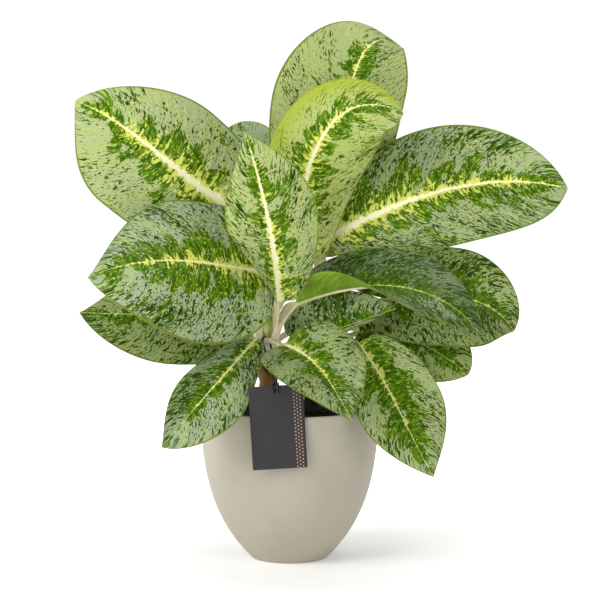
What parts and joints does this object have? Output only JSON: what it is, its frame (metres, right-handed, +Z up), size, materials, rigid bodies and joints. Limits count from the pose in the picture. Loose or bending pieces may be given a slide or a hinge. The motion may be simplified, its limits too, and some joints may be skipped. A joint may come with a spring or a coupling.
{
  "type": "potted chinese evergreen",
  "caption": "Potted chinese evergreen with broad silver-green leaves on arching stalks from upright canes, in a plain tapered round pot, with a hang tag looped on a cord.",
  "frame": {"origin": "the middle of the pot's foot, on the surface that the pot stands on", "axes": "+Z up along the pot's axis; the front, with the hang tag, faces -Y; +X is to the right as seen from the front"},
  "size_m": [0.3781, 0.2814, 0.4219],
  "materials": {
    "pot": "matte warm grey-cream",
    "grower_pot": "thin black plastic",
    "soil": "rough dark peat",
    "cane": "smooth pale green stem with brown leaf scars",
    "leaf": "satin, dark green flecks and a cream midrib on silver-green",
    "young_leaf": "satin pale yellow-green",
    "tag_card": "matte charcoal card",
    "tag_cord": "black twisted cord"
  },
  "bodies": {
    "root": {"pot": "pot", "grower_pot": "grower_pot", "soil": "soil", "cane_front": "cane", "cane_right": "cane", "cane_back": "cane", "leaf_top_back": "leaf", "leaf_top_front": "leaf", "leaf_front_upright": "leaf", "leaf_upper_left": "leaf", "leaf_mid_left": "leaf", "leaf_low_left_back": "leaf", "leaf_low_left_front": "leaf", "leaf_front_low": "leaf", "leaf_inner": "leaf", "leaf_right_large": "leaf", "leaf_right_mid": "leaf", "leaf_right_back": "leaf", "leaf_right_low": "leaf", "leaf_right_front": "leaf", "leaf_back_left": "leaf", "leaf_rear_high": "leaf", "leaf_rear_right": "leaf", "leaf_rear_left": "leaf", "leaf_rear_low_right": "leaf", "leaf_rear_low_left": "leaf", "young_leaf": "young_leaf", "tag_card": "tag_card", "tag_cord": "tag_cord"}
  },
  "joints": []
}
